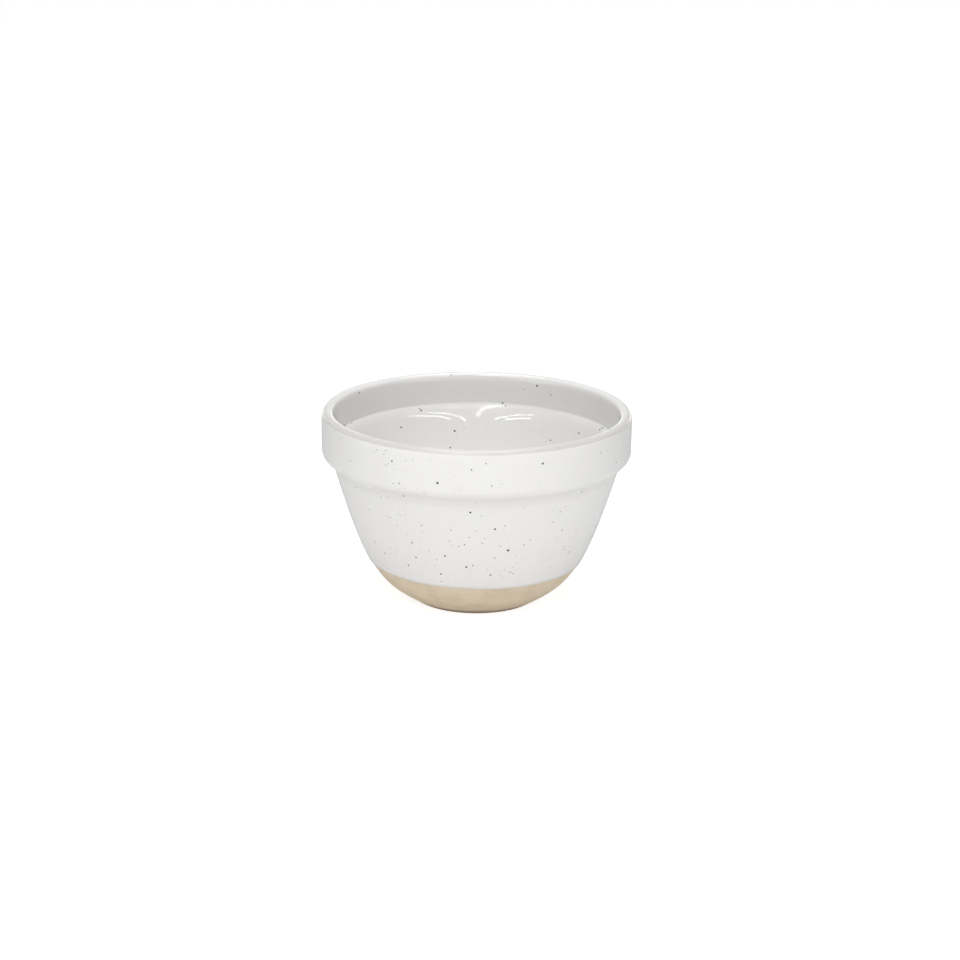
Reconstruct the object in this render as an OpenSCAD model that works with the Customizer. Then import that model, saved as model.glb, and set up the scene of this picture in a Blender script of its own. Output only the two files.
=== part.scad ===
// A stoneware prep bowl with a collar band under its lip. The clay is bare on
// the foot and on the lowest part of the wall. White glaze covers the rest in
// two coats, one outside and one inside, that meet on the crest of the lip.

/* [Bowl] */
// Diameter over the collar, glaze included
rim_d = 150; // [130:1:180]
// Height from the table to the crest of the lip, glaze included
bowl_h = 94; // [86:1:115]
// Thickness of the clay wall under the collar
wall_t = 5.6; // [4:0.2:7]
// Thickness of the clay floor at its centre
floor_t = 5.6; // [4:0.2:8]

/* [Collar] */
// Height from the collar's lower edge to the crest of the lip
collar_h = 21; // [17:0.5:28]
// How far the collar stands out from the wall under it
collar_out = 5.2; // [3:0.2:8]
// Height of the sloping face between the collar and the wall
collar_drop = 4.2; // [3:0.2:7]
// Rounding of the collar's lower edge
collar_edge_r = 4.6; // [2:0.2:6]
// Rounding of the hollow corner under the collar
neck_r = 3.4; // [1:0.2:5]

/* [Lip and ledge] */
// Thickness of the lip, glaze included
lip_t = 5.5; // [4:0.1:7]
// Rounding of the lip's edges
lip_r = 2; // [0.6:0.1:3]
// Thickness of the collar at the ledge inside it, glaze included
ledge_t = 7.2; // [5:0.1:9]
// Height of the ledge above the collar's lower edge
ledge_rise = 5.6; // [3:0.1:9]
// Rounding of the hollow corner on the ledge
ledge_r = 1.4; // [0.6:0.1:3]

/* [Foot] */
// Outer diameter of the ring that the bowl stands on
foot_d = 60; // [50:1:70]
// Width of the ring's flat face
foot_ring_w = 5; // [3:0.5:8]
// Depth of the hollow inside the ring
foot_hollow = 1.6; // [1:0.1:3]
// Rounding of the ring's edges
foot_edge_r = 0.8; // [0.3:0.1:1.5]

/* [Glaze] */
// Thickness of each coat
glaze_t = 0.4; // [0.2:0.05:0.8]
// Height of the bare clay above the table
bare_h = 20.2; // [12:0.2:32]

/* [Hidden] */

// Slope of the wall where it leaves the foot, and where it meets the collar
base_angle = 33;
wall_angle = 73.8;
// Slope of the ledge, down towards the middle of the bowl
ledge_angle = 38;

// Handles of the wall's curve, as shares of its height
wall_pull_shares = [0.285, 0.895];
// Where along the wall's curve the floor begins inside
floor_end_share = 0.34;
// Handles of the floor's curve, as shares of its length
floor_pull_shares = [0.5, 0.2];
// Handles of the shoulder from the wall to the ledge, as shares of its length
shoulder_pull_shares = [0.7, 0.14];
// The lip's edges are rounded over no more than this share of its thickness
lip_round_share = 0.46;

curve_steps = 24;
corner_steps = 6;
turn_steps = 180;

// The clay alone, without its coats
clay_r = rim_d / 2 - glaze_t;
clay_h = bowl_h - glaze_t;
lip_outer = [clay_r, clay_h];
lip_inner = [rim_d / 2 - lip_t + glaze_t, clay_h];
crest = (lip_outer + lip_inner) / 2;
collar_edge = [clay_r, bowl_h - collar_h];
neck = collar_edge - [collar_out, collar_drop];
ledge_corner = [rim_d / 2 - ledge_t + glaze_t, collar_edge.y + ledge_rise];
foot_outer = [foot_d / 2, 0];
foot_inner = foot_outer - [foot_ring_w, 0];
hollow_edge = foot_inner + [-foot_hollow, foot_hollow];
hollow_centre = [0, foot_hollow];
floor_centre = hollow_centre + [0, floor_t];
lip_edge_r = min(lip_r, (lip_outer.x - lip_inner.x) * lip_round_share);

function heading(angle) = [cos(angle), sin(angle)];
function unit(v) = v / norm(v);
function right_of(v) = [v.y, -v.x];
function between(a, b, share) = a + (b - a) * share;
function part_of(line, first, last) = [for (i = [first:last]) line[i]];
function backwards(line) = [for (i = [len(line) - 1:-1:0]) line[i]];

// A point on the cubic curve with control points p, and its direction there
function bezier(p, t) =
    let (u = 1 - t)
    u * u * u * p[0] + 3 * u * u * t * p[1] + 3 * u * t * t * p[2] + t * t * t * p[3];
function bezier_way(p, t) =
    let (u = 1 - t)
    unit(u * u * (p[1] - p[0]) + 2 * u * t * (p[2] - p[1]) + t * t * (p[3] - p[2]));
// Control points from a to b, with handles that are shares of a size
function handles(a, way_a, b, way_b, size, shares) =
    [a, a + way_a * size * shares[0], b - way_b * size * shares[1], b];

// How far a rounding of radius r reaches along each side of corner b
function reach(a, b, c, r) = r / tan(acos(unit(a - b) * unit(c - b)) / 2);
// The arc of radius r that rounds corner b between a and c
function rounded(a, b, c, r) =
    let (
        way_a = unit(a - b),
        way_c = unit(c - b),
        half = acos(way_a * way_c) / 2,
        centre = b + unit(way_a + way_c) * r / sin(half),
        spoke = b + way_a * reach(a, b, c, r) - centre,
        turn = (right_of(way_a) * way_c > 0 ? 1 : -1) * (180 - 2 * half)
    )
    [for (i = [0:corner_steps])
        let (angle = turn * i / corner_steps)
        centre + spoke * cos(angle) - right_of(spoke) * sin(angle)];

// The outside of the wall, from the foot to the hollow corner
base_way = heading(base_angle);
wall_way = heading(wall_angle);
wall_start = foot_outer
    + base_way * reach(foot_inner, foot_outer, foot_outer + base_way, foot_edge_r);
wall_end = neck - wall_way * reach(neck - wall_way, neck, collar_edge, neck_r);
wall = handles(
    wall_start, base_way, wall_end, wall_way, wall_end.y - wall_start.y, wall_pull_shares
);

// Where along the wall's curve it reaches a height, by halving
function share_at(height, low = 0, high = 1, tries = curve_steps) =
    let (middle = (low + high) / 2)
    tries == 0 ? middle
    : bezier(wall, middle).y < height ? share_at(height, middle, high, tries - 1)
    : share_at(height, low, middle, tries - 1);
bare_share = share_at(bare_h);

// The inside of the wall, which follows the outside at the wall's thickness
function inner_wall(share) = bezier(wall, share) - right_of(bezier_way(wall, share)) * wall_t;

floor_end = inner_wall(floor_end_share);
floor_curve = handles(
    floor_centre, heading(0), floor_end, bezier_way(wall, floor_end_share),
    norm(floor_end - floor_centre), floor_pull_shares
);

ledge_way = heading(ledge_angle);
shoulder_start = inner_wall(1);
shoulder_end = ledge_corner
    - ledge_way * reach(ledge_corner - ledge_way, ledge_corner, lip_inner, ledge_r);
shoulder = handles(
    shoulder_start, wall_way, shoulder_end, ledge_way,
    norm(shoulder_end - shoulder_start), shoulder_pull_shares
);

// The underside, from the centre out over the ring
under_line = concat(
    [hollow_centre],
    rounded(hollow_centre, hollow_edge, foot_inner, foot_edge_r),
    rounded(hollow_edge, foot_inner, foot_outer, foot_edge_r),
    rounded(foot_inner, foot_outer, foot_outer + base_way, foot_edge_r)
);
// The bare band, between the ring and the edge of the glaze
bare_line = [for (i = [1:corner_steps - 1]) bezier(wall, bare_share * i / corner_steps)];
// The glazed outside, from the edge of the glaze up to the crest of the lip
outer_line = concat(
    [for (i = [0:curve_steps - 1]) bezier(wall, between(bare_share, 1, i / curve_steps))],
    rounded(neck - wall_way, neck, collar_edge, neck_r),
    rounded(neck, collar_edge, lip_outer, collar_edge_r),
    rounded(collar_edge, lip_outer, lip_inner, lip_edge_r)
);
// The glazed inside, from the crest of the lip down to the centre of the floor
inner_line = concat(
    rounded(lip_outer, lip_inner, ledge_corner, lip_edge_r),
    rounded(lip_inner, ledge_corner, ledge_corner - ledge_way, ledge_r),
    [for (i = [corner_steps - 1:-1:0]) bezier(shoulder, i / corner_steps)],
    [for (i = [curve_steps - 1:-1:0]) inner_wall(between(floor_end_share, 1, i / curve_steps))],
    [for (i = [curve_steps - 1:-1:0]) bezier(floor_curve, i / curve_steps)]
);
glazed_line = concat(outer_line, [crest], inner_line);
crest_index = len(outer_line);
last_index = len(glazed_line) - 1;

// A point on the glaze's surface. The line comes level onto the axis at its end.
function glaze_point(i) =
    let (
        before = glazed_line[max(i - 1, 0)],
        after = i == last_index ? [-before.x, before.y] : glazed_line[i + 1]
    )
    glazed_line[i] + right_of(unit(after - before)) * glaze_t;
glaze_line = [for (i = [0:last_index]) glaze_point(i)];

module turned(line) {
    rotate_extrude($fn = turn_steps) polygon(line);
}

// A coat lies between the clay and the glaze's surface, over one stretch of both
module coat(first, last) {
    turned(concat(
        part_of(glazed_line, first, last),
        backwards(part_of(glaze_line, first, last))
    ));
}

module clay_body() {
    color("#cdb79c") turned(concat(under_line, bare_line, glazed_line));
}

module outside_glaze() {
    color("#edece8") coat(0, crest_index);
}

module inside_glaze() {
    color("#f4f3f0") coat(crest_index, last_index);
}

clay_body();
outside_glaze();
inside_glaze();
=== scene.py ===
import math
from functools import reduce

import bmesh
import bpy
from bpy.props import FloatProperty, FloatVectorProperty, IntProperty, PointerProperty
from mathutils import Matrix, Vector, noise


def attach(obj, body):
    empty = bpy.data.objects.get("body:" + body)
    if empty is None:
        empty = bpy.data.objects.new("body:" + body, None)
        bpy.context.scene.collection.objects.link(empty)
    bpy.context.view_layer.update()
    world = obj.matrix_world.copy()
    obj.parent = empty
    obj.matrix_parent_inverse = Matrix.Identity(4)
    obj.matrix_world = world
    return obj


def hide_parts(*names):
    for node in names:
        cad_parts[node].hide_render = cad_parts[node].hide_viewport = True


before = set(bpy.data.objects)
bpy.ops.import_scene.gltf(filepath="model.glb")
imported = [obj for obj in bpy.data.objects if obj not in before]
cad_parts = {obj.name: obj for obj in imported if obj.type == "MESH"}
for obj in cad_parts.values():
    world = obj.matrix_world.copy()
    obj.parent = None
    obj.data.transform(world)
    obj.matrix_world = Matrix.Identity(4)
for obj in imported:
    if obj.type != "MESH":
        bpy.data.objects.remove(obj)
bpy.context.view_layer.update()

bl_info = {
    "name": "Stoneware Prep Bowl",
    "version": (1, 0, 0),
    "blender": (4, 5, 0),
    "location": "View3D > Sidebar > Prep Bowl",
    "description": "Dresses a packed prep bowl in bare clay and speckled white glaze",
    "category": "Object",
}

MM = 0.001
CENTRE = Vector((0, 0, 0))
UPWARD = Vector((0, 0, 1))
# Points closer together than this are one point
WELD = 0.002 * MM
# A point that turns the outline by less than this isn't needed
STRAIGHT = math.radians(0.02)
# An edge that is sharper than this stays sharp
SHARP = math.radians(50)
# Seeds look the noise up this far apart, where it is unlike
SEED_STEP = 7.3
# A reach that is far outside every speck
OUTSIDE_SPECK = 9.0
# The reach of a chosen speck as a share of its width. It is over half, because the edge fades.
CHOSEN_REACH = 0.6
FLOOR_RADIUS = 2.5
FLOOR_COLOUR = (0.65, 0.65, 0.65, 1)
# The attribute that holds how far a point of the glaze was above its lower edge
RISE = "rise"

# The specks that stand out from the front. Each has its bearing in degrees, from the
# front towards the right, its height in millimetres and its width in millimetres.
OUTSIDE_SPECKS = (
    (-83, 93, 0.7), (-57.5, 90, 0.5), (-31, 86, 0.8), (-1.5, 85.5, 0.6), (3.5, 88.5, 0.5),
    (24, 87, 0.9), (-28, 76, 0.6), (-30.5, 75.5, 0.5), (-13.5, 78.5, 1.0), (5.5, 78, 0.5),
    (61.5, 78.5, 0.7), (-55.5, 65.5, 0.6), (-28.5, 68.5, 0.8), (-2, 63, 0.9), (45, 69.5, 0.6),
    (45.5, 67.5, 0.5), (36, 59.5, 0.5), (-22.5, 54, 0.6), (8, 54, 0.9), (12, 55.5, 0.5),
    (-2.5, 49.5, 0.5), (-11, 47, 0.5), (-4.5, 45.5, 0.6), (3, 46.5, 0.5), (-28.5, 43.5, 0.8),
    (14.5, 42, 1.1), (-13.5, 38.5, 0.9), (9, 38, 0.5), (-28, 35.5, 0.8), (-17.5, 36, 0.5),
    (-47.5, 33, 0.7), (-4, 33, 0.9), (-1, 34, 0.6), (-33.5, 30, 0.8), (-16.5, 28, 0.8),
    (7.5, 28.5, 0.8), (17, 29.5, 0.6), (18.5, 28.5, 0.5), (-37.5, 90, 0.5), (-33.5, 90.5, 0.5),
    (-38.5, 88.5, 0.4), (-34.5, 88.5, 0.4), (-33.5, 83.5, 0.5), (-32.5, 84.5, 0.4),
    (-30, 82.5, 0.4), (-22.5, 88.5, 0.4), (50.5, 86.5, 0.5), (-40, 65, 0.5), (-36, 66.5, 0.4),
    (-49.5, 56, 0.5), (-34.5, 51.5, 0.5), (-52.5, 38, 0.6), (-42, 37.5, 0.4), (-32.5, 58, 0.4),
    (-31.5, 57.5, 0.4), (-29, 58.5, 0.4), (-39, 55.5, 0.4), (-37.5, 55, 0.5), (-10, 53, 0.5),
    (4, 49, 0.4), (-9.5, 45, 0.4), (-7, 44.5, 0.5), (11, 44.5, 0.5), (21.5, 44.5, 0.5),
    (24, 46.5, 0.4), (33.5, 54.5, 0.5), (39.5, 49, 0.5), (49, 46.5, 0.5), (45, 37, 0.5),
    (49.5, 34.5, 0.6), (19.5, 34.5, 0.4), (18, 32.5, 0.4), (14, 31, 0.4), (13.5, 26.5, 0.4),
    (-23, 34, 0.4), (-26.5, 26, 0.4), (-17, 23.5, 0.5), (-50, 24, 0.4),
)
INSIDE_SPECKS = (
    (154, 89.5, 0.9), (-122.5, 91.5, 0.7), (-169, 93, 0.5), (147, 86, 0.6), (160, 87, 0.4),
    (-91, 89, 0.5), (169, 79, 0.8), (167.5, 78, 0.6), (-107, 79.5, 0.7), (-113.5, 78.5, 0.6),
    (112, 78, 0.8), (113, 77, 0.8), (-154.5, 76.5, 0.8), (-154, 77.5, 0.6), (127, 71.5, 0.8),
    (-143, 70, 0.8), (-169.5, 65.5, 0.9), (143, 64.5, 0.7), (-167, 57.5, 0.7),
)


class ShapeSettings(bpy.types.PropertyGroup):
    """What the potter's hand adds to the plain turned shape."""

    turn_steps: IntProperty(
        name="Turn Steps", description="Faces around the bowl, before they are smoothed",
        default=128, min=24, max=160,
    )
    out_of_round: FloatProperty(
        name="Out of Round", description="How far the wall strays from a true circle",
        default=0.15 * MM, min=0, max=1 * MM, unit="LENGTH",
    )
    edge_tilt: FloatProperty(
        name="Glaze Edge Tilt",
        description="How much lower the outside glaze reaches on the right than on the left",
        default=1.0 * MM, min=0, max=4 * MM, unit="LENGTH",
    )
    edge_wander: FloatProperty(
        name="Glaze Edge Wander", description="How far the edge of the glaze strays up and down",
        default=0.3 * MM, min=0, max=2 * MM, unit="LENGTH",
    )
    edge_fade: FloatProperty(
        name="Glaze Edge Fade",
        description="How far above its edge the glaze still follows the line of the edge",
        default=14 * MM, min=2 * MM, unit="LENGTH",
    )
    edge_round: FloatProperty(
        name="Glaze Edge Rounding", description="Rounding of the glaze where it ends on the clay",
        default=0.25 * MM, min=0.05 * MM, max=0.35 * MM, unit="LENGTH",
    )
    seed: IntProperty(name="Seed", description="Picks another set of small irregularities", default=4)


class FinishSettings(bpy.types.PropertyGroup):
    """Colours and gloss of the clay and the glaze."""

    glaze: FloatVectorProperty(
        name="Glaze", description="Colour of the white glaze where it is thick",
        subtype="COLOR", size=3, min=0, max=1, default=(0.872, 0.864, 0.856),
    )
    # Also darkens the lip's outer edge as a painted shade line under its highlight
    thin_glaze_and_shade: FloatVectorProperty(
        name="Thin Glaze And Shade", description="Colour of the glaze where it runs thin over an edge",
        subtype="COLOR", size=3, min=0, max=1, default=(0.68, 0.66, 0.635),
    )
    # Partly glaze gathered in a hollow, partly painted shade: it darkens the groove under the collar and
    # the upright face inside the collar
    pooled_glaze_and_shade: FloatVectorProperty(
        name="Pooled Glaze And Shade", description="Colour of the glaze where it gathers in a hollow",
        subtype="COLOR", size=3, min=0, max=1, default=(0.7, 0.685, 0.63),
    )
    iron: FloatVectorProperty(
        name="Iron", description="Colour of the specks of iron in the glaze",
        subtype="COLOR", size=3, min=0, max=1, default=(0.03, 0.027, 0.025),
    )
    rust: FloatVectorProperty(
        name="Rust", description="Colour that the iron bleeds into the glaze around it",
        subtype="COLOR", size=3, min=0, max=1, default=(0.4, 0.34, 0.27),
    )
    clay: FloatVectorProperty(
        name="Clay", description="Colour of the bare fired clay",
        subtype="COLOR", size=3, min=0, max=1, default=(0.78, 0.665, 0.51),
    )
    # Also used for painted shade: the clay darkens towards the floor and at the outer edge of the foot
    toasted_clay_and_shade: FloatVectorProperty(
        name="Toasted Clay And Shade", description="Colour of the clay where the kiln has browned it",
        subtype="COLOR", size=3, min=0, max=1, default=(0.5, 0.39, 0.26),
    )
    # Painted contact shadow where the foot meets the floor
    foot_shadow: FloatVectorProperty(
        name="Painted Foot Shadow", description="Colour that tables have rubbed into the edge of the foot",
        subtype="COLOR", size=3, min=0, max=1, default=(0.24, 0.19, 0.14),
    )
    outside_roughness: FloatProperty(
        name="Outside Roughness", description="How far the outside is from a mirror",
        default=0.2, min=0, max=1, subtype="FACTOR",
    )
    inside_roughness: FloatProperty(
        name="Inside Roughness", description="How far the inside is from a mirror",
        default=0.03, min=0, max=1, subtype="FACTOR",
    )


class StageSettings(bpy.types.PropertyGroup):
    """The camera, the lamps and the floor."""

    camera_distance: FloatProperty(
        name="Camera Distance", description="From the camera to the middle of the bowl",
        default=1.2, min=0.4, unit="LENGTH",
    )
    camera_elevation: FloatProperty(
        name="Camera Elevation", description="How steeply the camera looks down on the bowl",
        default=math.radians(16.84), subtype="ANGLE",
    )
    camera_roll: FloatProperty(
        name="Camera Roll", description="How far the bowl leans clockwise in the picture",
        default=math.radians(0.66), subtype="ANGLE",
    )
    camera_aim: FloatVectorProperty(
        name="Camera Aim", description="The point that the camera looks at",
        default=(1.9 * MM, 0, 58.1 * MM), subtype="TRANSLATION", unit="LENGTH",
    )
    camera_lens: FloatProperty(
        name="Lens", description="Focal length in millimetres, on a 36 mm sensor",
        default=92.54, min=20,
    )
    room: FloatProperty(
        name="Room", description="Brightness of the light that comes from all around",
        default=0.03, min=0,
    )
    room_mirrored: FloatProperty(
        name="Room Mirrored", description="Brightness of the room where the glaze mirrors it",
        default=0.5, min=0,
    )
    backdrop: FloatProperty(
        name="Backdrop", description="Brightness of the room behind the bowl where the glaze mirrors it",
        default=0.7, min=0,
    )
    overhead: FloatProperty(
        name="Overhead", description="Brightness of the soft lamp above the bowl", default=5.4, min=0,
    )
    high_front: FloatProperty(
        name="High Front", description="Brightness of the large soft lamp above and in front",
        default=1.45, min=0,
    )
    front_card: FloatProperty(
        name="Front Card", description="Brightness of the low card in front of the bowl",
        default=1.9, min=0,
    )
    cards: FloatProperty(
        name="Cards", description="Brightness of the low cards beside and behind the bowl",
        default=2.5, min=0,
    )
    tubes: FloatProperty(
        name="Tubes", description="Brightness of the narrow lamps that the glaze mirrors",
        default=13, min=0,
    )
    strip: FloatProperty(
        name="Strip", description="Brightness of the wider lamp between the tubes", default=5.5, min=0,
    )
    floor_glow: FloatProperty(
        name="Floor Glow", description="Light that the floor gives off by itself", default=0.21, min=0,
    )
    floor_mirrored: FloatProperty(
        name="Floor Mirrored", description="How much brighter the floor is in the glaze",
        default=0.1, min=0,
    )
    floor_lift: FloatProperty(
        name="Floor Lift", description="How much brighter the floor round the bowl looks to the camera",
        default=0.8, min=0,
    )


def settings():
    """The three groups of settings that the panel shows."""
    scene = bpy.context.scene
    return scene.prep_bowl_shape, scene.prep_bowl_finish, scene.prep_bowl_stage


def section(node):
    """A CAD node cut in half through its axis, as the edges of its outline on the right."""
    outline = bmesh.new()
    outline.from_mesh(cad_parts[node].data)
    bmesh.ops.remove_doubles(outline, verts=outline.verts, dist=WELD)
    bmesh.ops.bisect_plane(
        outline, geom=outline.verts[:] + outline.edges[:] + outline.faces[:],
        dist=WELD, plane_co=CENTRE, plane_no=(1, 0, 0), clear_inner=True,
    )
    cut = bmesh.ops.bisect_plane(
        outline, geom=outline.verts[:] + outline.edges[:] + outline.faces[:],
        dist=WELD, plane_co=CENTRE, plane_no=(0, 1, 0),
    )["geom_cut"]
    kept = {
        edge for edge in cut
        if isinstance(edge, bmesh.types.BMEdge) and max(v.co.x for v in edge.verts) > WELD
    }
    bmesh.ops.delete(outline, geom=outline.faces[:], context="FACES_ONLY")
    bmesh.ops.delete(outline, geom=[e for e in outline.edges if e not in kept], context="EDGES_FACES")
    bmesh.ops.delete(outline, geom=[v for v in outline.verts if not v.link_edges], context="VERTS")
    bmesh.ops.remove_doubles(outline, verts=outline.verts, dist=WELD)
    needless = [
        v for v in outline.verts
        if len(v.link_edges) == 2 and v.calc_edge_angle(math.pi) < STRAIGHT
    ]
    bmesh.ops.dissolve_verts(outline, verts=needless)
    return outline


def wall_radius(outline, height, pick):
    """Distance from the axis to where an outline is at a height. Pick is max outside, min inside."""
    radii = []
    for edge in outline.edges:
        low, high = sorted((v.co for v in edge.verts), key=lambda co: co.z)
        if low.z <= height < high.z:
            radii.append(low.lerp(high, (height - low.z) / (high.z - low.z)).x)
    return pick(radii)


def bend_height(outline, pick, way):
    """Height, near the collar, at which a wall bends most. Way is 1 for outward and -1 for upright."""
    step = 0.5 * MM
    span = 2 * MM
    top = max(v.co.z for v in outline.verts)
    # The collar is all within the upper four tenths
    low, high = 0.6 * top, top - 2 * span
    heights = [low + step * count for count in range(int((high - low) / step))]

    def bend(height):
        below, here, above = (wall_radius(outline, height + shift, pick) for shift in (-span, 0, span))
        return (below + above - 2 * here) * way

    return max(heights, key=bend)


def turn(outline):
    """Spins an outline round the bowl's axis into a closed shell with its faces outward."""
    shape, _, _ = settings()
    bmesh.ops.spin(
        outline, geom=outline.verts[:] + outline.edges[:], cent=CENTRE, axis=UPWARD,
        angle=math.tau, steps=shape.turn_steps, use_merge=True,
    )
    bmesh.ops.remove_doubles(outline, verts=outline.verts, dist=WELD)
    bmesh.ops.recalc_face_normals(outline, faces=outline.faces)
    return outline


def bearing(point):
    """Angle round the bowl, from the front towards the right."""
    return math.atan2(point.x, -point.y)


def wander(angle, height, pace, seed):
    """A smooth value from -1 to 1 that changes slowly round the bowl and up it."""
    spot = Vector((math.sin(angle) * pace, math.cos(angle) * pace, height + seed * SEED_STEP))
    # The noise seldom passes a half either way
    return max(-1, min(1, noise.noise(spot) * 2))


def smooth_step(value):
    """Runs smoothly from 0 to 1 as the value does."""
    value = max(0, min(1, value))
    return value * value * (3 - 2 * value)


def go_out_of_round(shell):
    """Draws the wall in a little where the hand pressed it. It never goes past the turned shape."""
    shape, _, _ = settings()
    # The press of the hand changes over this height, and fades from this radius to the axis
    wave, fading = 60 * MM, 50 * MM
    for vert in shell.verts:
        radius = math.hypot(vert.co.x, vert.co.y)
        if radius < WELD:
            continue
        # From a tenth to all of the full pull
        share = 0.55 - 0.45 * wander(bearing(vert.co), vert.co.z / wave, 1.1, shape.seed)
        pull = shape.out_of_round * share * smooth_step(radius / fading)
        vert.co.x *= 1 - pull / radius
        vert.co.y *= 1 - pull / radius


def round_lowest_edge(shell, amount):
    """Rounds the ring of edges at the very bottom of a shell."""
    lowest = min(v.co.z for v in shell.verts)
    ring = [e for e in shell.edges if max(v.co.z for v in e.verts) < lowest + WELD]
    bmesh.ops.bevel(
        shell, geom=ring, offset=amount, offset_type="OFFSET", segments=3,
        profile=0.5, affect="EDGES", material=-1,
    )


def lay_glaze_edge(shell, clay):
    """Lets the lower edge of the glaze tilt and wander along the clay wall behind it."""
    shape, _, _ = settings()
    edge = min(v.co.z for v in shell.verts)
    rise = shell.verts.layers.float.new(RISE)
    for vert in shell.verts:
        height = vert.co.z
        vert[rise] = height - edge
        share = smooth_step(1 - (height - edge) / shape.edge_fade)
        if share <= 0:
            continue
        angle = bearing(vert.co)
        slide = shape.edge_wander * wander(angle, 0, 2.2, shape.seed + 1)
        slide = (slide - shape.edge_tilt / 2 * math.sin(angle)) * share
        radius = math.hypot(vert.co.x, vert.co.y)
        shift = wall_radius(clay, height + slide, max) - wall_radius(clay, height, max)
        vert.co.x *= 1 + shift / radius
        vert.co.y *= 1 + shift / radius
        vert.co.z += slide


def finished_piece(name, shell, node, material):
    """Makes an object of a shell, which stands for a CAD node and rides where that node does."""
    crease = shell.edges.layers.float.new("crease_edge")
    for face in shell.faces:
        face.smooth = True
    for edge in shell.edges:
        if edge.calc_face_angle(0) > SHARP:
            edge.smooth = False
            edge[crease] = 1
    mesh = bpy.data.meshes.new(name)
    shell.to_mesh(mesh)
    shell.free()
    mesh.materials.append(material)
    piece = bpy.data.objects.new(name, mesh)
    bpy.context.scene.collection.objects.link(piece)
    smoothing = piece.modifiers.new("Smoothing", "SUBSURF")
    smoothing.levels = smoothing.render_levels = 1
    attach(piece, "root")
    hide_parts(node)
    return piece


def fill(tree, sockets, inputs):
    """Links each input to a socket, or sets it to a number or a colour."""
    for name, value in inputs.items():
        if isinstance(value, bpy.types.NodeSocket):
            tree.links.new(value, sockets[name])
        else:
            sockets[name].default_value = value


def place(tree, kind, inputs=None, **values):
    """Adds a node, sets its values and fills its inputs."""
    node = tree.nodes.new(kind)
    for name, value in values.items():
        setattr(node, name, value)
    fill(tree, node.inputs, inputs or {})
    return node


def maths(tree, operation, first, second=0.0):
    """The result of one sum."""
    return place(tree, "ShaderNodeMath", {0: first, 1: second}, operation=operation).outputs[0]


def total(tree, *values):
    """All the values added up."""
    return reduce(lambda so_far, value: maths(tree, "ADD", so_far, value), values)


def product(tree, *values):
    """All the values multiplied."""
    return reduce(lambda so_far, value: maths(tree, "MULTIPLY", so_far, value), values)


def vector_maths(tree, operation, *inputs):
    """The result of one sum with vectors."""
    return place(
        tree, "ShaderNodeVectorMath", dict(enumerate(inputs)), operation=operation,
    ).outputs


def fade(tree, value, start, end, first=1.0, last=0.0):
    """The first value up to the start, the last value past the end, and smooth between them."""
    return place(
        tree, "ShaderNodeMapRange",
        {"Value": value, "From Min": start, "From Max": end, "To Min": first, "To Max": last},
        interpolation_type="SMOOTHSTEP",
    ).outputs["Result"]


def blend(tree, share, first, second):
    """The first colour where the share is 0 and the second where it is 1."""
    mix = place(tree, "ShaderNodeMix", data_type="RGBA")
    fill(tree, mix.inputs, {0: share, 6: first, 7: second})
    return mix.outputs[2]


def grain(tree, spot, size, detail=2.0):
    """Noise whose lumps are about that size. Most of it lies between 0.3 and 0.7."""
    return place(
        tree, "ShaderNodeTexNoise", {"Vector": spot, "Scale": 1 / size, "Detail": detail},
    ).outputs["Fac"]


def along(tree, spot, axis):
    """How far a place lies along an axis."""
    return place(tree, "ShaderNodeSeparateXYZ", {"Vector": spot}).outputs[axis]


def axis_distance(tree, spot):
    """How far a place lies from the bowl's axis."""
    flat = vector_maths(tree, "MULTIPLY", spot, (1.0, 1.0, 0.0))["Vector"]
    return vector_maths(tree, "LENGTH", flat)["Value"]


def start_group(name, inputs, outputs):
    """A node group with named sockets, its inputs, and the sockets that it puts out."""
    tree = bpy.data.node_groups.new(name, "ShaderNodeTree")
    for label, kind in inputs.items():
        tree.interface.new_socket(label, in_out="INPUT", socket_type="NodeSocket" + kind)
    for label, kind in outputs.items():
        tree.interface.new_socket(label, in_out="OUTPUT", socket_type="NodeSocket" + kind)
    return tree, tree.nodes.new("NodeGroupInput").outputs, tree.nodes.new("NodeGroupOutput").inputs


def use_group(tree, made, inputs):
    """Places a node group and gives what it puts out."""
    return place(tree, "ShaderNodeGroup", inputs, node_tree=made).outputs


def scattered_specks():
    """Group: specks at random. Its reach is 0 in the middle of a speck and 1 at its edge."""
    name = "Scattered Specks"
    if name in bpy.data.node_groups:
        return bpy.data.node_groups[name]
    tree, given, result = start_group(
        name,
        {"Spot": "Vector", "Spacing": "Float", "Width": "Float", "Share": "Float"},
        {"Reach": "Float"},
    )
    cells = place(
        tree, "ShaderNodeTexVoronoi",
        {"Vector": given["Spot"], "Scale": maths(tree, "DIVIDE", 1.0, given["Spacing"])},
        feature="F1", voronoi_dimensions="3D",
    ).outputs
    chance = place(tree, "ShaderNodeSeparateColor", {"Color": cells["Color"]}).outputs
    # Each speck is from half to all of the given width
    half_width = product(tree, given["Width"], fade(tree, chance["Green"], 0.0, 1.0, 0.25, 0.5))
    reach = maths(tree, "DIVIDE", product(tree, cells["Distance"], given["Spacing"]), half_width)
    left_out = maths(tree, "GREATER_THAN", chance["Red"], given["Share"])
    fill(tree, result, {"Reach": total(tree, reach, product(tree, left_out, OUTSIDE_SPECK))})
    return tree


def scatter(tree, spot, spacing, width, share):
    """Reach of specks at random, one to each spacing where the share is 1."""
    inputs = {"Spot": spot, "Spacing": spacing, "Width": width, "Share": share}
    return use_group(tree, scattered_specks(), inputs)["Reach"]


def stain(tree, colour, reach, core, rim, strength, stained):
    """Stains a colour in each speck, most within its core and not at all past its rim."""
    return blend(tree, fade(tree, reach, core, rim, strength, 0.0), colour, stained)


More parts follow.
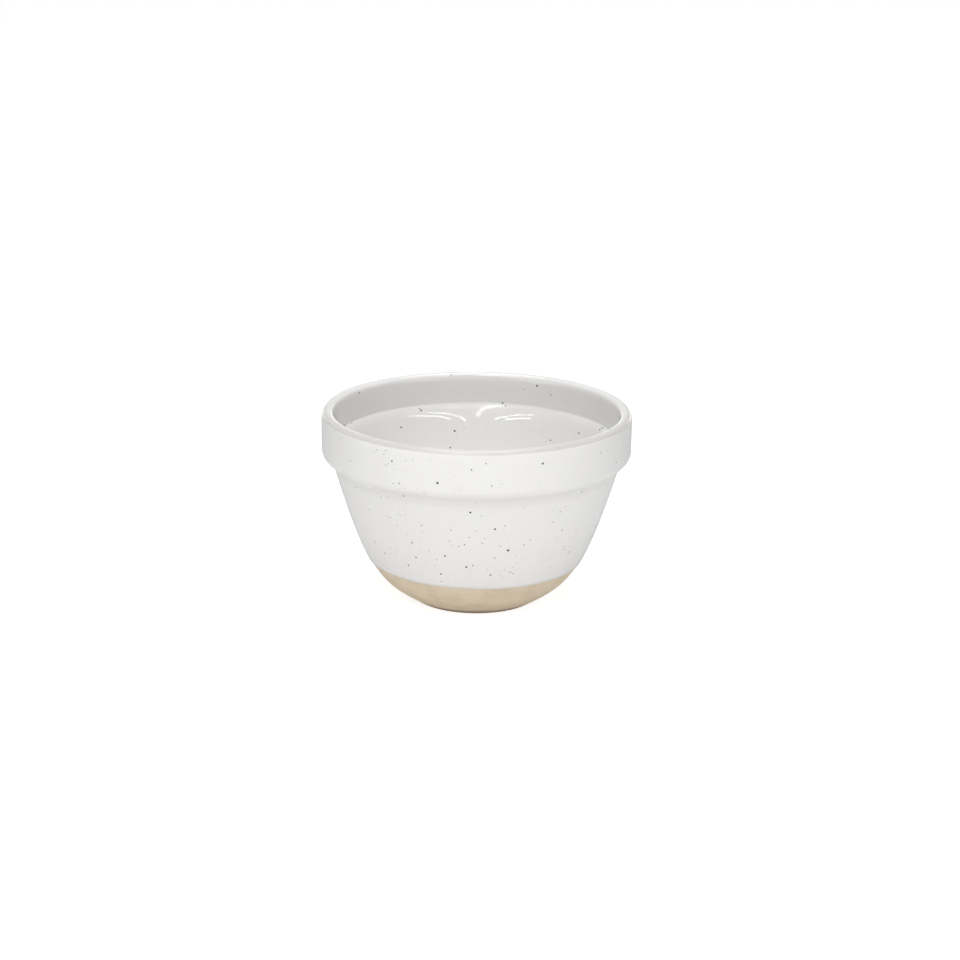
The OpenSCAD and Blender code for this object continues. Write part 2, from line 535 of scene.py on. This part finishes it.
def speckled_glaze():
    """Group: colour, gloss and relief of the white glaze with its iron specks."""
    name = "Speckled Glaze"
    if name in bpy.data.node_groups:
        return bpy.data.node_groups[name]
    tree, given, result = start_group(
        name,
        {"Spot": "Vector", "Glaze": "Color", "Thin Glaze And Shade": "Color", "Pooled Glaze And Shade": "Color",
         "Iron": "Color", "Rust": "Color", "Thinness And Shade": "Float", "Pooling And Shade": "Float",
         "Chosen Reach": "Float", "Random Share": "Float", "Fine Share": "Float",
         "Roughness": "Float"},
        {"Colour": "Color", "Roughness": "Float", "Relief": "Float"},
    )
    spot = given["Spot"]
    # Specks aren't round, so the place that is looked up strays a little
    stray = place(tree, "ShaderNodeTexNoise", {"Vector": spot, "Scale": 1 / (0.7 * MM)}).outputs["Color"]
    stray = vector_maths(tree, "SUBTRACT", stray, (0.5, 0.5, 0.5))["Vector"]
    strayed = vector_maths(tree, "MULTIPLY_ADD", stray, (0.3 * MM,) * 3, spot)["Vector"]
    large = scatter(tree, strayed, 7 * MM, 1.1 * MM, given["Random Share"])
    large = maths(tree, "MINIMUM", large, given["Chosen Reach"])
    # The fine specks come in swarms, and so does the iron that has sunk into the glaze
    swarm = fade(tree, grain(tree, spot, 22 * MM, 1.0), 0.4, 0.6, 0.1, 1.0)
    swarm = product(tree, swarm, given["Fine Share"])
    fine = scatter(tree, strayed, 2.7 * MM, 0.65 * MM, product(tree, swarm, 0.7))
    sunken = scatter(tree, spot, 2.1 * MM, 1.1 * MM, swarm)

    # The glaze is a little uneven in thickness, and thin where it runs over an edge. The thinness given
    # also carries a painted shade line over the lip's outer edge
    cloud = fade(tree, grain(tree, spot, 16 * MM, 3.0), 0.35, 0.75, 0.0, 0.05)
    thinness_and_shade = maths(tree, "MAXIMUM", cloud, given["Thinness And Shade"])
    colour = blend(tree, thinness_and_shade, given["Glaze"], given["Thin Glaze And Shade"])
    # The pooling given is partly glaze gathered in hollows and partly painted shade
    colour = blend(tree, given["Pooling And Shade"], colour, given["Pooled Glaze And Shade"])
    colour = stain(tree, colour, sunken, 0.1, 1.2, 0.3, given["Rust"])
    colour = stain(tree, colour, fine, 0.7, 1.5, 0.2, given["Rust"])
    colour = stain(tree, colour, fine, 0.4, 1.0, 0.65, given["Iron"])
    colour = stain(tree, colour, large, 0.8, 1.5, 0.3, given["Rust"])
    iron = fade(tree, large, 0.7, 1.1, 0.98, 0.0)
    colour = blend(tree, iron, colour, given["Iron"])

    # Iron that breaks the surface is duller than the glaze, and stands a little proud
    uneven = fade(tree, grain(tree, spot, 5 * MM, 3.0), 0.3, 0.7, -0.015, 0.02)
    rough = total(tree, given["Roughness"], uneven, product(tree, iron, 0.2))
    ripple = product(tree, grain(tree, spot, 11 * MM, 1.0), 0.06 * MM)
    relief = total(tree, ripple, product(tree, iron, 0.02 * MM))
    fill(tree, result, {"Colour": colour, "Roughness": rough, "Relief": relief})
    return tree


def start_material(name):
    """A material with no nodes yet, and the places on the object that it paints."""
    material = bpy.data.materials.new(name)
    material.use_nodes = True
    tree = material.node_tree
    tree.nodes.clear()
    return material, tree, tree.nodes.new("ShaderNodeTexCoord").outputs["Object"]


def finish_material(tree, colour, roughness, relief):
    """Gives a material its shader, with relief as a height in metres."""
    normal = place(
        tree, "ShaderNodeBump", {"Strength": 1.0, "Distance": 1.0, "Height": relief},
    ).outputs["Normal"]
    shader = place(
        tree, "ShaderNodeBsdfPrincipled",
        {"Base Color": colour, "Roughness": roughness, "Normal": normal},
    ).outputs["BSDF"]
    place(tree, "ShaderNodeOutputMaterial", {"Surface": shader})


def chosen_reach(tree, spot, outline, specks, pick):
    """Reach to the nearest of the chosen specks: 0 in its middle and 1 at its edge."""
    nearest = OUTSIDE_SPECK
    for degrees, height, width in specks:
        angle = math.radians(degrees)
        radius = wall_radius(outline, height * MM, pick)
        middle = (radius * math.sin(angle), -radius * math.cos(angle), height * MM)
        distance = vector_maths(tree, "DISTANCE", spot, middle)["Value"]
        reach = maths(tree, "DIVIDE", distance, width * CHOSEN_REACH * MM)
        nearest = maths(tree, "MINIMUM", reach, nearest)
    return nearest


def frontness(tree, spot):
    """1 at the front of the bowl, 0 at its sides and -1 at its back."""
    return maths(tree, "DIVIDE", product(tree, along(tree, spot, "Y"), -1.0), axis_distance(tree, spot))


def glaze_material(name, roughness, fine_share, outline, specks, pick, masks):
    """White glaze. Masks gives how thin it is and how far it pools, both with painted shade in them, and
    where specks are chosen.

    The last is 1 where only the chosen specks stand, and 0 where chance places the specks.
    """
    _, finish, _ = settings()
    material, tree, spot = start_material(name)
    thinness_and_shade, pooling_and_shade, chosen_share = masks(tree, spot)
    look = use_group(tree, speckled_glaze(), {
        "Spot": spot,
        "Glaze": (*finish.glaze, 1),
        "Thin Glaze And Shade": (*finish.thin_glaze_and_shade, 1),
        "Pooled Glaze And Shade": (*finish.pooled_glaze_and_shade, 1),
        "Iron": (*finish.iron, 1),
        "Rust": (*finish.rust, 1),
        "Thinness And Shade": thinness_and_shade,
        "Pooling And Shade": pooling_and_shade,
        "Chosen Reach": chosen_reach(tree, spot, outline, specks, pick),
        "Random Share": fade(tree, chosen_share, 0.0, 1.0, 0.7, 0.0),
        "Fine Share": fine_share,
        "Roughness": roughness,
    })
    finish_material(tree, look["Colour"], look["Roughness"], look["Relief"])
    return material


def clay_material(outline):
    """Bare buff stoneware: sandy, with rings from the turning tool and a few fine pits, and painted shade
    that darkens it towards the floor.
    """
    _, finish, _ = settings()
    material, tree, spot = start_material("Bare Clay")
    height = along(tree, spot, "Z")
    radius = axis_distance(tree, spot)
    # The rings hardly change round the bowl, so the noise sees mostly radius and height
    ring_spot = place(
        tree, "ShaderNodeCombineXYZ",
        {"X": radius, "Y": product(tree, along(tree, spot, "X"), 0.02), "Z": height},
    ).outputs["Vector"]
    rings = grain(tree, ring_spot, 0.9 * MM)
    sand = grain(tree, spot, 0.45 * MM, 3.0)
    cloud = grain(tree, spot, 9 * MM, 3.0)

    # Painted shadow darkens the outer edge of the foot by the floor, but not the underside within it
    foot = wall_radius(outline, 1.5 * MM, max)
    on_edge = fade(tree, radius, foot - 3.5 * MM, foot - 0.5 * MM, 0.15, 1.0)
    # Toast is partly random browning and partly painted shade, darker towards the floor and at the foot's
    # outer edge
    toast_and_shade = total(
        tree,
        fade(tree, cloud, 0.35, 0.75, 0.0, 0.25),
        fade(tree, sand, 0.4, 0.75, 0.0, 0.2),
        fade(tree, rings, 0.4, 0.7, 0.0, 0.08),
        fade(tree, height, 0.0, 14 * MM, 0.2, 0.0),
        product(tree, on_edge, fade(tree, height, 1 * MM, 4 * MM, 0.5, 0.0)),
    )
    colour = blend(tree, toast_and_shade, (*finish.clay, 1), (*finish.toasted_clay_and_shade, 1))
    # Painted contact shadow along the outer edge of the foot
    sandy_height = total(tree, height, product(tree, sand, 1 * MM))
    foot_shadow = product(tree, on_edge, fade(tree, sandy_height, 2 * MM, 3.8 * MM, 0.65, 0.0))
    colour = blend(tree, foot_shadow, colour, (*finish.foot_shadow, 1))
    pit = fade(tree, scatter(tree, spot, 1.6 * MM, 0.35 * MM, 0.4), 0.4, 1.0, 0.45, 0.0)
    colour = blend(tree, pit, colour, (*finish.rust, 1))

    relief = total(
        tree,
        product(tree, sand, 0.05 * MM),
        product(tree, rings, 0.03 * MM),
        product(tree, pit, -0.06 * MM),
    )
    finish_material(tree, colour, fade(tree, sand, 0.3, 0.7, 0.78, 0.92), relief)
    return material


class PREP_BOWL_OT_clay_body(bpy.types.Operator):
    """Turn the clay bowl, with its bare foot"""

    bl_idname = "prep_bowl.clay_body"
    bl_label = "Clay Body"

    def execute(self, context):
        outline = section("clay_body")
        material = clay_material(outline)
        shell = turn(outline)
        go_out_of_round(shell)
        finished_piece("bare_clay_bowl", shell, "clay_body", material)
        return {"FINISHED"}


class PREP_BOWL_OT_outside_glaze(bpy.types.Operator):
    """Coat the outside, from the crest of the lip down to the edge of the bare clay"""

    bl_idname = "prep_bowl.outside_glaze"
    bl_label = "Outside Glaze"

    def execute(self, context):
        shape, finish, _ = settings()
        outline = section("outside_glaze")
        lip_band_height = max(v.co.z for v in outline.verts) - 0.5 * MM
        groove_height = bend_height(outline, max, 1) - 1 * MM

        def masks(tree, spot):
            # The glaze is thin down its own lower edge. Over the lip's outer edge it is thin and darkened
            # further into a painted shade line under the lip's highlight
            height = along(tree, spot, "Z")
            ragged = grain(tree, spot, 3 * MM)
            over_lip = total(tree, height, product(tree, ragged, 0.5 * MM))
            over_lip = maths(tree, "ABSOLUTE", maths(tree, "SUBTRACT", over_lip, lip_band_height))
            lip = fade(tree, over_lip, 0.5 * MM, 1.3 * MM, 0.95, 0.0)
            rise = place(tree, "ShaderNodeAttribute", attribute_name=RISE).outputs["Fac"]
            rise = total(tree, rise, product(tree, ragged, 0.6 * MM))
            thinness_and_shade = maths(tree, "MAXIMUM", fade(tree, rise, 0.7 * MM, 1.9 * MM, 0.5, 0.0), lip)
            # It pools in the groove under the collar, and the darkening there is also painted shade
            away = maths(tree, "ABSOLUTE", maths(tree, "SUBTRACT", height, groove_height))
            pooling_and_shade = fade(tree, away, 0.5 * MM, 3.5 * MM, 0.28, 0.0)
            # The specks are chosen on the front of the bowl
            chosen = fade(tree, frontness(tree, spot), 0.35, 0.42, 0.0, 1.0)
            return thinness_and_shade, pooling_and_shade, chosen

        material = glaze_material(
            "Outside Glaze", finish.outside_roughness, fine_share=0.75, outline=outline,
            specks=OUTSIDE_SPECKS, pick=max, masks=masks,
        )
        clay = section("clay_body")
        shell = turn(outline)
        round_lowest_edge(shell, shape.edge_round)
        lay_glaze_edge(shell, clay)
        clay.free()
        go_out_of_round(shell)
        finished_piece("outside_glaze_coat", shell, "outside_glaze", material)
        return {"FINISHED"}


class PREP_BOWL_OT_inside_glaze(bpy.types.Operator):
    """Coat the inside, from the crest of the lip down to the floor"""

    bl_idname = "prep_bowl.inside_glaze"
    bl_label = "Inside Glaze"

    def execute(self, context):
        _, finish, _ = settings()
        outline = section("inside_glaze")
        crest = max(v.co.z for v in outline.verts)
        ledge = bend_height(outline, min, -1)

        def masks(tree, spot):
            # Painted shade greys the upright face between the ledge and the lip
            height = along(tree, spot, "Z")
            above_ledge = fade(tree, height, ledge - 1 * MM, ledge + 0.5 * MM, 0.0, 0.35)
            under_lip = fade(tree, height, crest - 4 * MM, crest - 1.5 * MM, 1.0, 0.0)
            # The specks are chosen at the back, over what the front wall hides
            back = fade(tree, frontness(tree, spot), -0.3, -0.2, 1.0, 0.0)
            upper = fade(tree, height, 53 * MM, 56 * MM, 0.0, 1.0)
            return 0.0, product(tree, above_ledge, under_lip), product(tree, back, upper)

        material = glaze_material(
            "Inside Glaze", finish.inside_roughness, fine_share=0.15, outline=outline,
            specks=INSIDE_SPECKS, pick=min, masks=masks,
        )
        shell = turn(outline)
        go_out_of_round(shell)
        finished_piece("inside_glaze_coat", shell, "inside_glaze", material)
        return {"FINISHED"}


def facing(direction, roll=0.0):
    """A turn that points -Z along a direction with +Y upward, then rolls about it."""
    return direction.to_track_quat("-Z", "Y").to_matrix().to_4x4() @ Matrix.Rotation(roll, 4, "Z")


def soft_lamp(name, spot, aim, width, length, radiance):
    """A rectangular lamp that faces a point. Its power follows from its size and its radiance."""
    data = bpy.data.lights.new(name, "AREA")
    data.shape = "RECTANGLE"
    data.size, data.size_y = width, length
    data.energy = radiance * math.pi * width * length
    lamp = bpy.data.objects.new(name, data)
    bpy.context.scene.collection.objects.link(lamp)
    lamp.visible_camera = False
    spot, aim = Vector(spot), Vector(aim)
    lamp.matrix_world = Matrix.Translation(spot) @ facing(aim - spot)
    return lamp


def tube_lamp(name, start, end, width, radiance):
    """A narrow lamp from one point to another, turned towards the bowl."""
    start, end = Vector(start), Vector(end)
    middle = (start + end) / 2
    lamp = soft_lamp(name, middle, CENTRE, width, (end - start).length, radiance)
    lengthwise = (end - start).normalized()
    crosswise = lengthwise.cross(middle).normalized()
    turned = Matrix((crosswise, lengthwise, crosswise.cross(lengthwise))).transposed().to_4x4()
    lamp.matrix_world = Matrix.Translation(middle) @ turned
    return lamp


class PREP_BOWL_OT_stage(bpy.types.Operator):
    """Set the bowl on a white floor, under soft lamps and in front of the camera"""

    bl_idname = "prep_bowl.stage"
    bl_label = "Stage"

    def execute(self, context):
        _, _, stage = settings()
        context.scene.view_settings.view_transform = "Standard"
        self.set_camera(context.scene, stage)
        self.lay_floor(context.scene, stage)
        self.light_room(context.scene, stage)
        self.hang_lamps(stage)
        return {"FINISHED"}

    def set_camera(self, scene, stage):
        """Looks at the middle of the bowl from the front and a little above."""
        back = Vector((0, -math.cos(stage.camera_elevation), math.sin(stage.camera_elevation)))
        camera = bpy.data.objects.new("Camera", bpy.data.cameras.new("Camera"))
        camera.data.lens = stage.camera_lens
        camera.data.sensor_width = 36
        camera.matrix_world = (
            Matrix.Translation(Vector(stage.camera_aim) + back * stage.camera_distance)
            @ facing(-back, stage.camera_roll)
        )
        scene.collection.objects.link(camera)
        scene.camera = camera

    def lay_floor(self, scene, stage):
        """A plain white floor that keeps the shadow of the bowl."""
        disc = bmesh.new()
        bmesh.ops.create_circle(disc, cap_ends=True, segments=96, radius=FLOOR_RADIUS)
        mesh = bpy.data.meshes.new("Floor")
        disc.to_mesh(mesh)
        disc.free()
        floor = bpy.data.objects.new("Floor", mesh)
        scene.collection.objects.link(floor)

        material, tree, spot = start_material("Floor")
        seen = tree.nodes.new("ShaderNodeLightPath").outputs
        # Far from the lamps the floor needs all its whiteness from here
        distance = vector_maths(tree, "LENGTH", spot)["Value"]
        lift = fade(tree, distance, 0.3, 1.0, stage.floor_lift, 1.0)
        strength = product(tree, seen["Is Camera Ray"], lift)
        for ray, share in (("Is Glossy Ray", stage.floor_mirrored), ("Is Diffuse Ray", stage.floor_glow)):
            strength = total(tree, strength, product(tree, seen[ray], share))
        glow = place(tree, "ShaderNodeEmission", {"Strength": strength}).outputs[0]
        white = place(tree, "ShaderNodeBsdfDiffuse", {"Color": FLOOR_COLOUR}).outputs[0]
        both = place(tree, "ShaderNodeAddShader", {0: white, 1: glow}).outputs[0]
        place(tree, "ShaderNodeOutputMaterial", {"Surface": both})
        # The glow depends on the kind of ray, so only rays that meet the floor may count it
        material.cycles.emission_sampling = "NONE"
        mesh.materials.append(material)

    def light_room(self, scene, stage):
        """A dim room that looks plain white to the camera, and brighter in the glaze than it lights."""
        world = bpy.data.worlds.new("Room")
        world.use_nodes = True
        tree = world.node_tree
        tree.nodes.clear()
        seen = tree.nodes.new("ShaderNodeLightPath").outputs
        # The crest of the lip mirrors the room behind the bowl
        behind = along(tree, tree.nodes.new("ShaderNodeTexCoord").outputs["Generated"], "Y")
        mirrored = fade(tree, behind, 0.5, 0.9, stage.room_mirrored, stage.backdrop)
        strength = fade(tree, seen["Is Glossy Ray"], 0.0, 1.0, stage.room, mirrored)
        strength = maths(tree, "MAXIMUM", seen["Is Camera Ray"], strength)
        white = {"Color": (1, 1, 1, 1), "Strength": strength}
        light = place(tree, "ShaderNodeBackground", white).outputs[0]
        place(tree, "ShaderNodeOutputWorld", {"Surface": light})
        world.cycles.sampling_method = "NONE"
        scene.world = world

    def hang_lamps(self, stage):
        """Soft lamps above, low cards all round, and the narrow lamps that the glaze mirrors."""
        aim = (0, 0, 0.05)
        # The height of the middle of each low card, and how tall the card is
        low, tall = 0.08, 0.14
        soft_lamp("Overhead Lamp", (0, 0.2, 0.9), aim, 0.5, 0.5, stage.overhead)
        soft_lamp("High Front Lamp", (0, -0.8, 1.3), aim, 1.3, 0.7, stage.high_front)
        soft_lamp("Front Card", (0, -0.75, low), aim, 1.6, tall, stage.front_card)
        soft_lamp("Left Card", (-0.75, -0.25, low), aim, 1, tall, stage.cards)
        soft_lamp("Right Card", (0.75, -0.25, low), aim, 1, tall, stage.cards)
        soft_lamp("Back Card", (0, 0.9, low), aim, 1.2, tall, stage.cards)
        tube_lamp("Inner Right Tube", (1.2, -1.1, 1), (0.5, -2.6, 1), 0.05, stage.tubes)
        tube_lamp("Outer Right Tube", (2.0, -0.95, 1), (1.1, -2.4, 1), 0.05, stage.tubes)
        tube_lamp("Inner Left Tube", (-1.5, -1, 1), (-0.75, -2.5, 1), 0.05, stage.tubes)
        tube_lamp("Outer Left Tube", (-1.95, -1.55, 1), (-1.15, -2.35, 1), 0.04, stage.tubes)
        tube_lamp("Strip", (-0.2, -0.2, 1), (-0.03, -2.4, 1), 0.16, stage.strip)


class PREP_BOWL_PT_panel(bpy.types.Panel):
    """Lists the settings and the steps"""

    bl_idname = "PREP_BOWL_PT_panel"
    bl_label = "Prep Bowl"
    bl_space_type = "VIEW_3D"
    bl_region_type = "UI"
    bl_category = "Prep Bowl"

    def draw(self, context):
        for group_of_settings in settings():
            box = self.layout.box()
            for name in group_of_settings.__annotations__:
                box.prop(group_of_settings, name)
        for operator in OPERATORS:
            self.layout.operator(operator.bl_idname)


SETTINGS = {
    "prep_bowl_shape": ShapeSettings,
    "prep_bowl_finish": FinishSettings,
    "prep_bowl_stage": StageSettings,
}
OPERATORS = (
    PREP_BOWL_OT_clay_body,
    PREP_BOWL_OT_outside_glaze,
    PREP_BOWL_OT_inside_glaze,
    PREP_BOWL_OT_stage,
)


def register():
    for made in (*SETTINGS.values(), *OPERATORS, PREP_BOWL_PT_panel):
        bpy.utils.register_class(made)
    for name, made in SETTINGS.items():
        setattr(bpy.types.Scene, name, PointerProperty(type=made))


def unregister():
    for name in SETTINGS:
        delattr(bpy.types.Scene, name)
    for made in reversed((*SETTINGS.values(), *OPERATORS, PREP_BOWL_PT_panel)):
        bpy.utils.unregister_class(made)


def main():
    register()
    bpy.ops.prep_bowl.clay_body()
    bpy.ops.prep_bowl.outside_glaze()
    bpy.ops.prep_bowl.inside_glaze()
    bpy.ops.prep_bowl.stage()


if __name__ == "__main__":
    main()
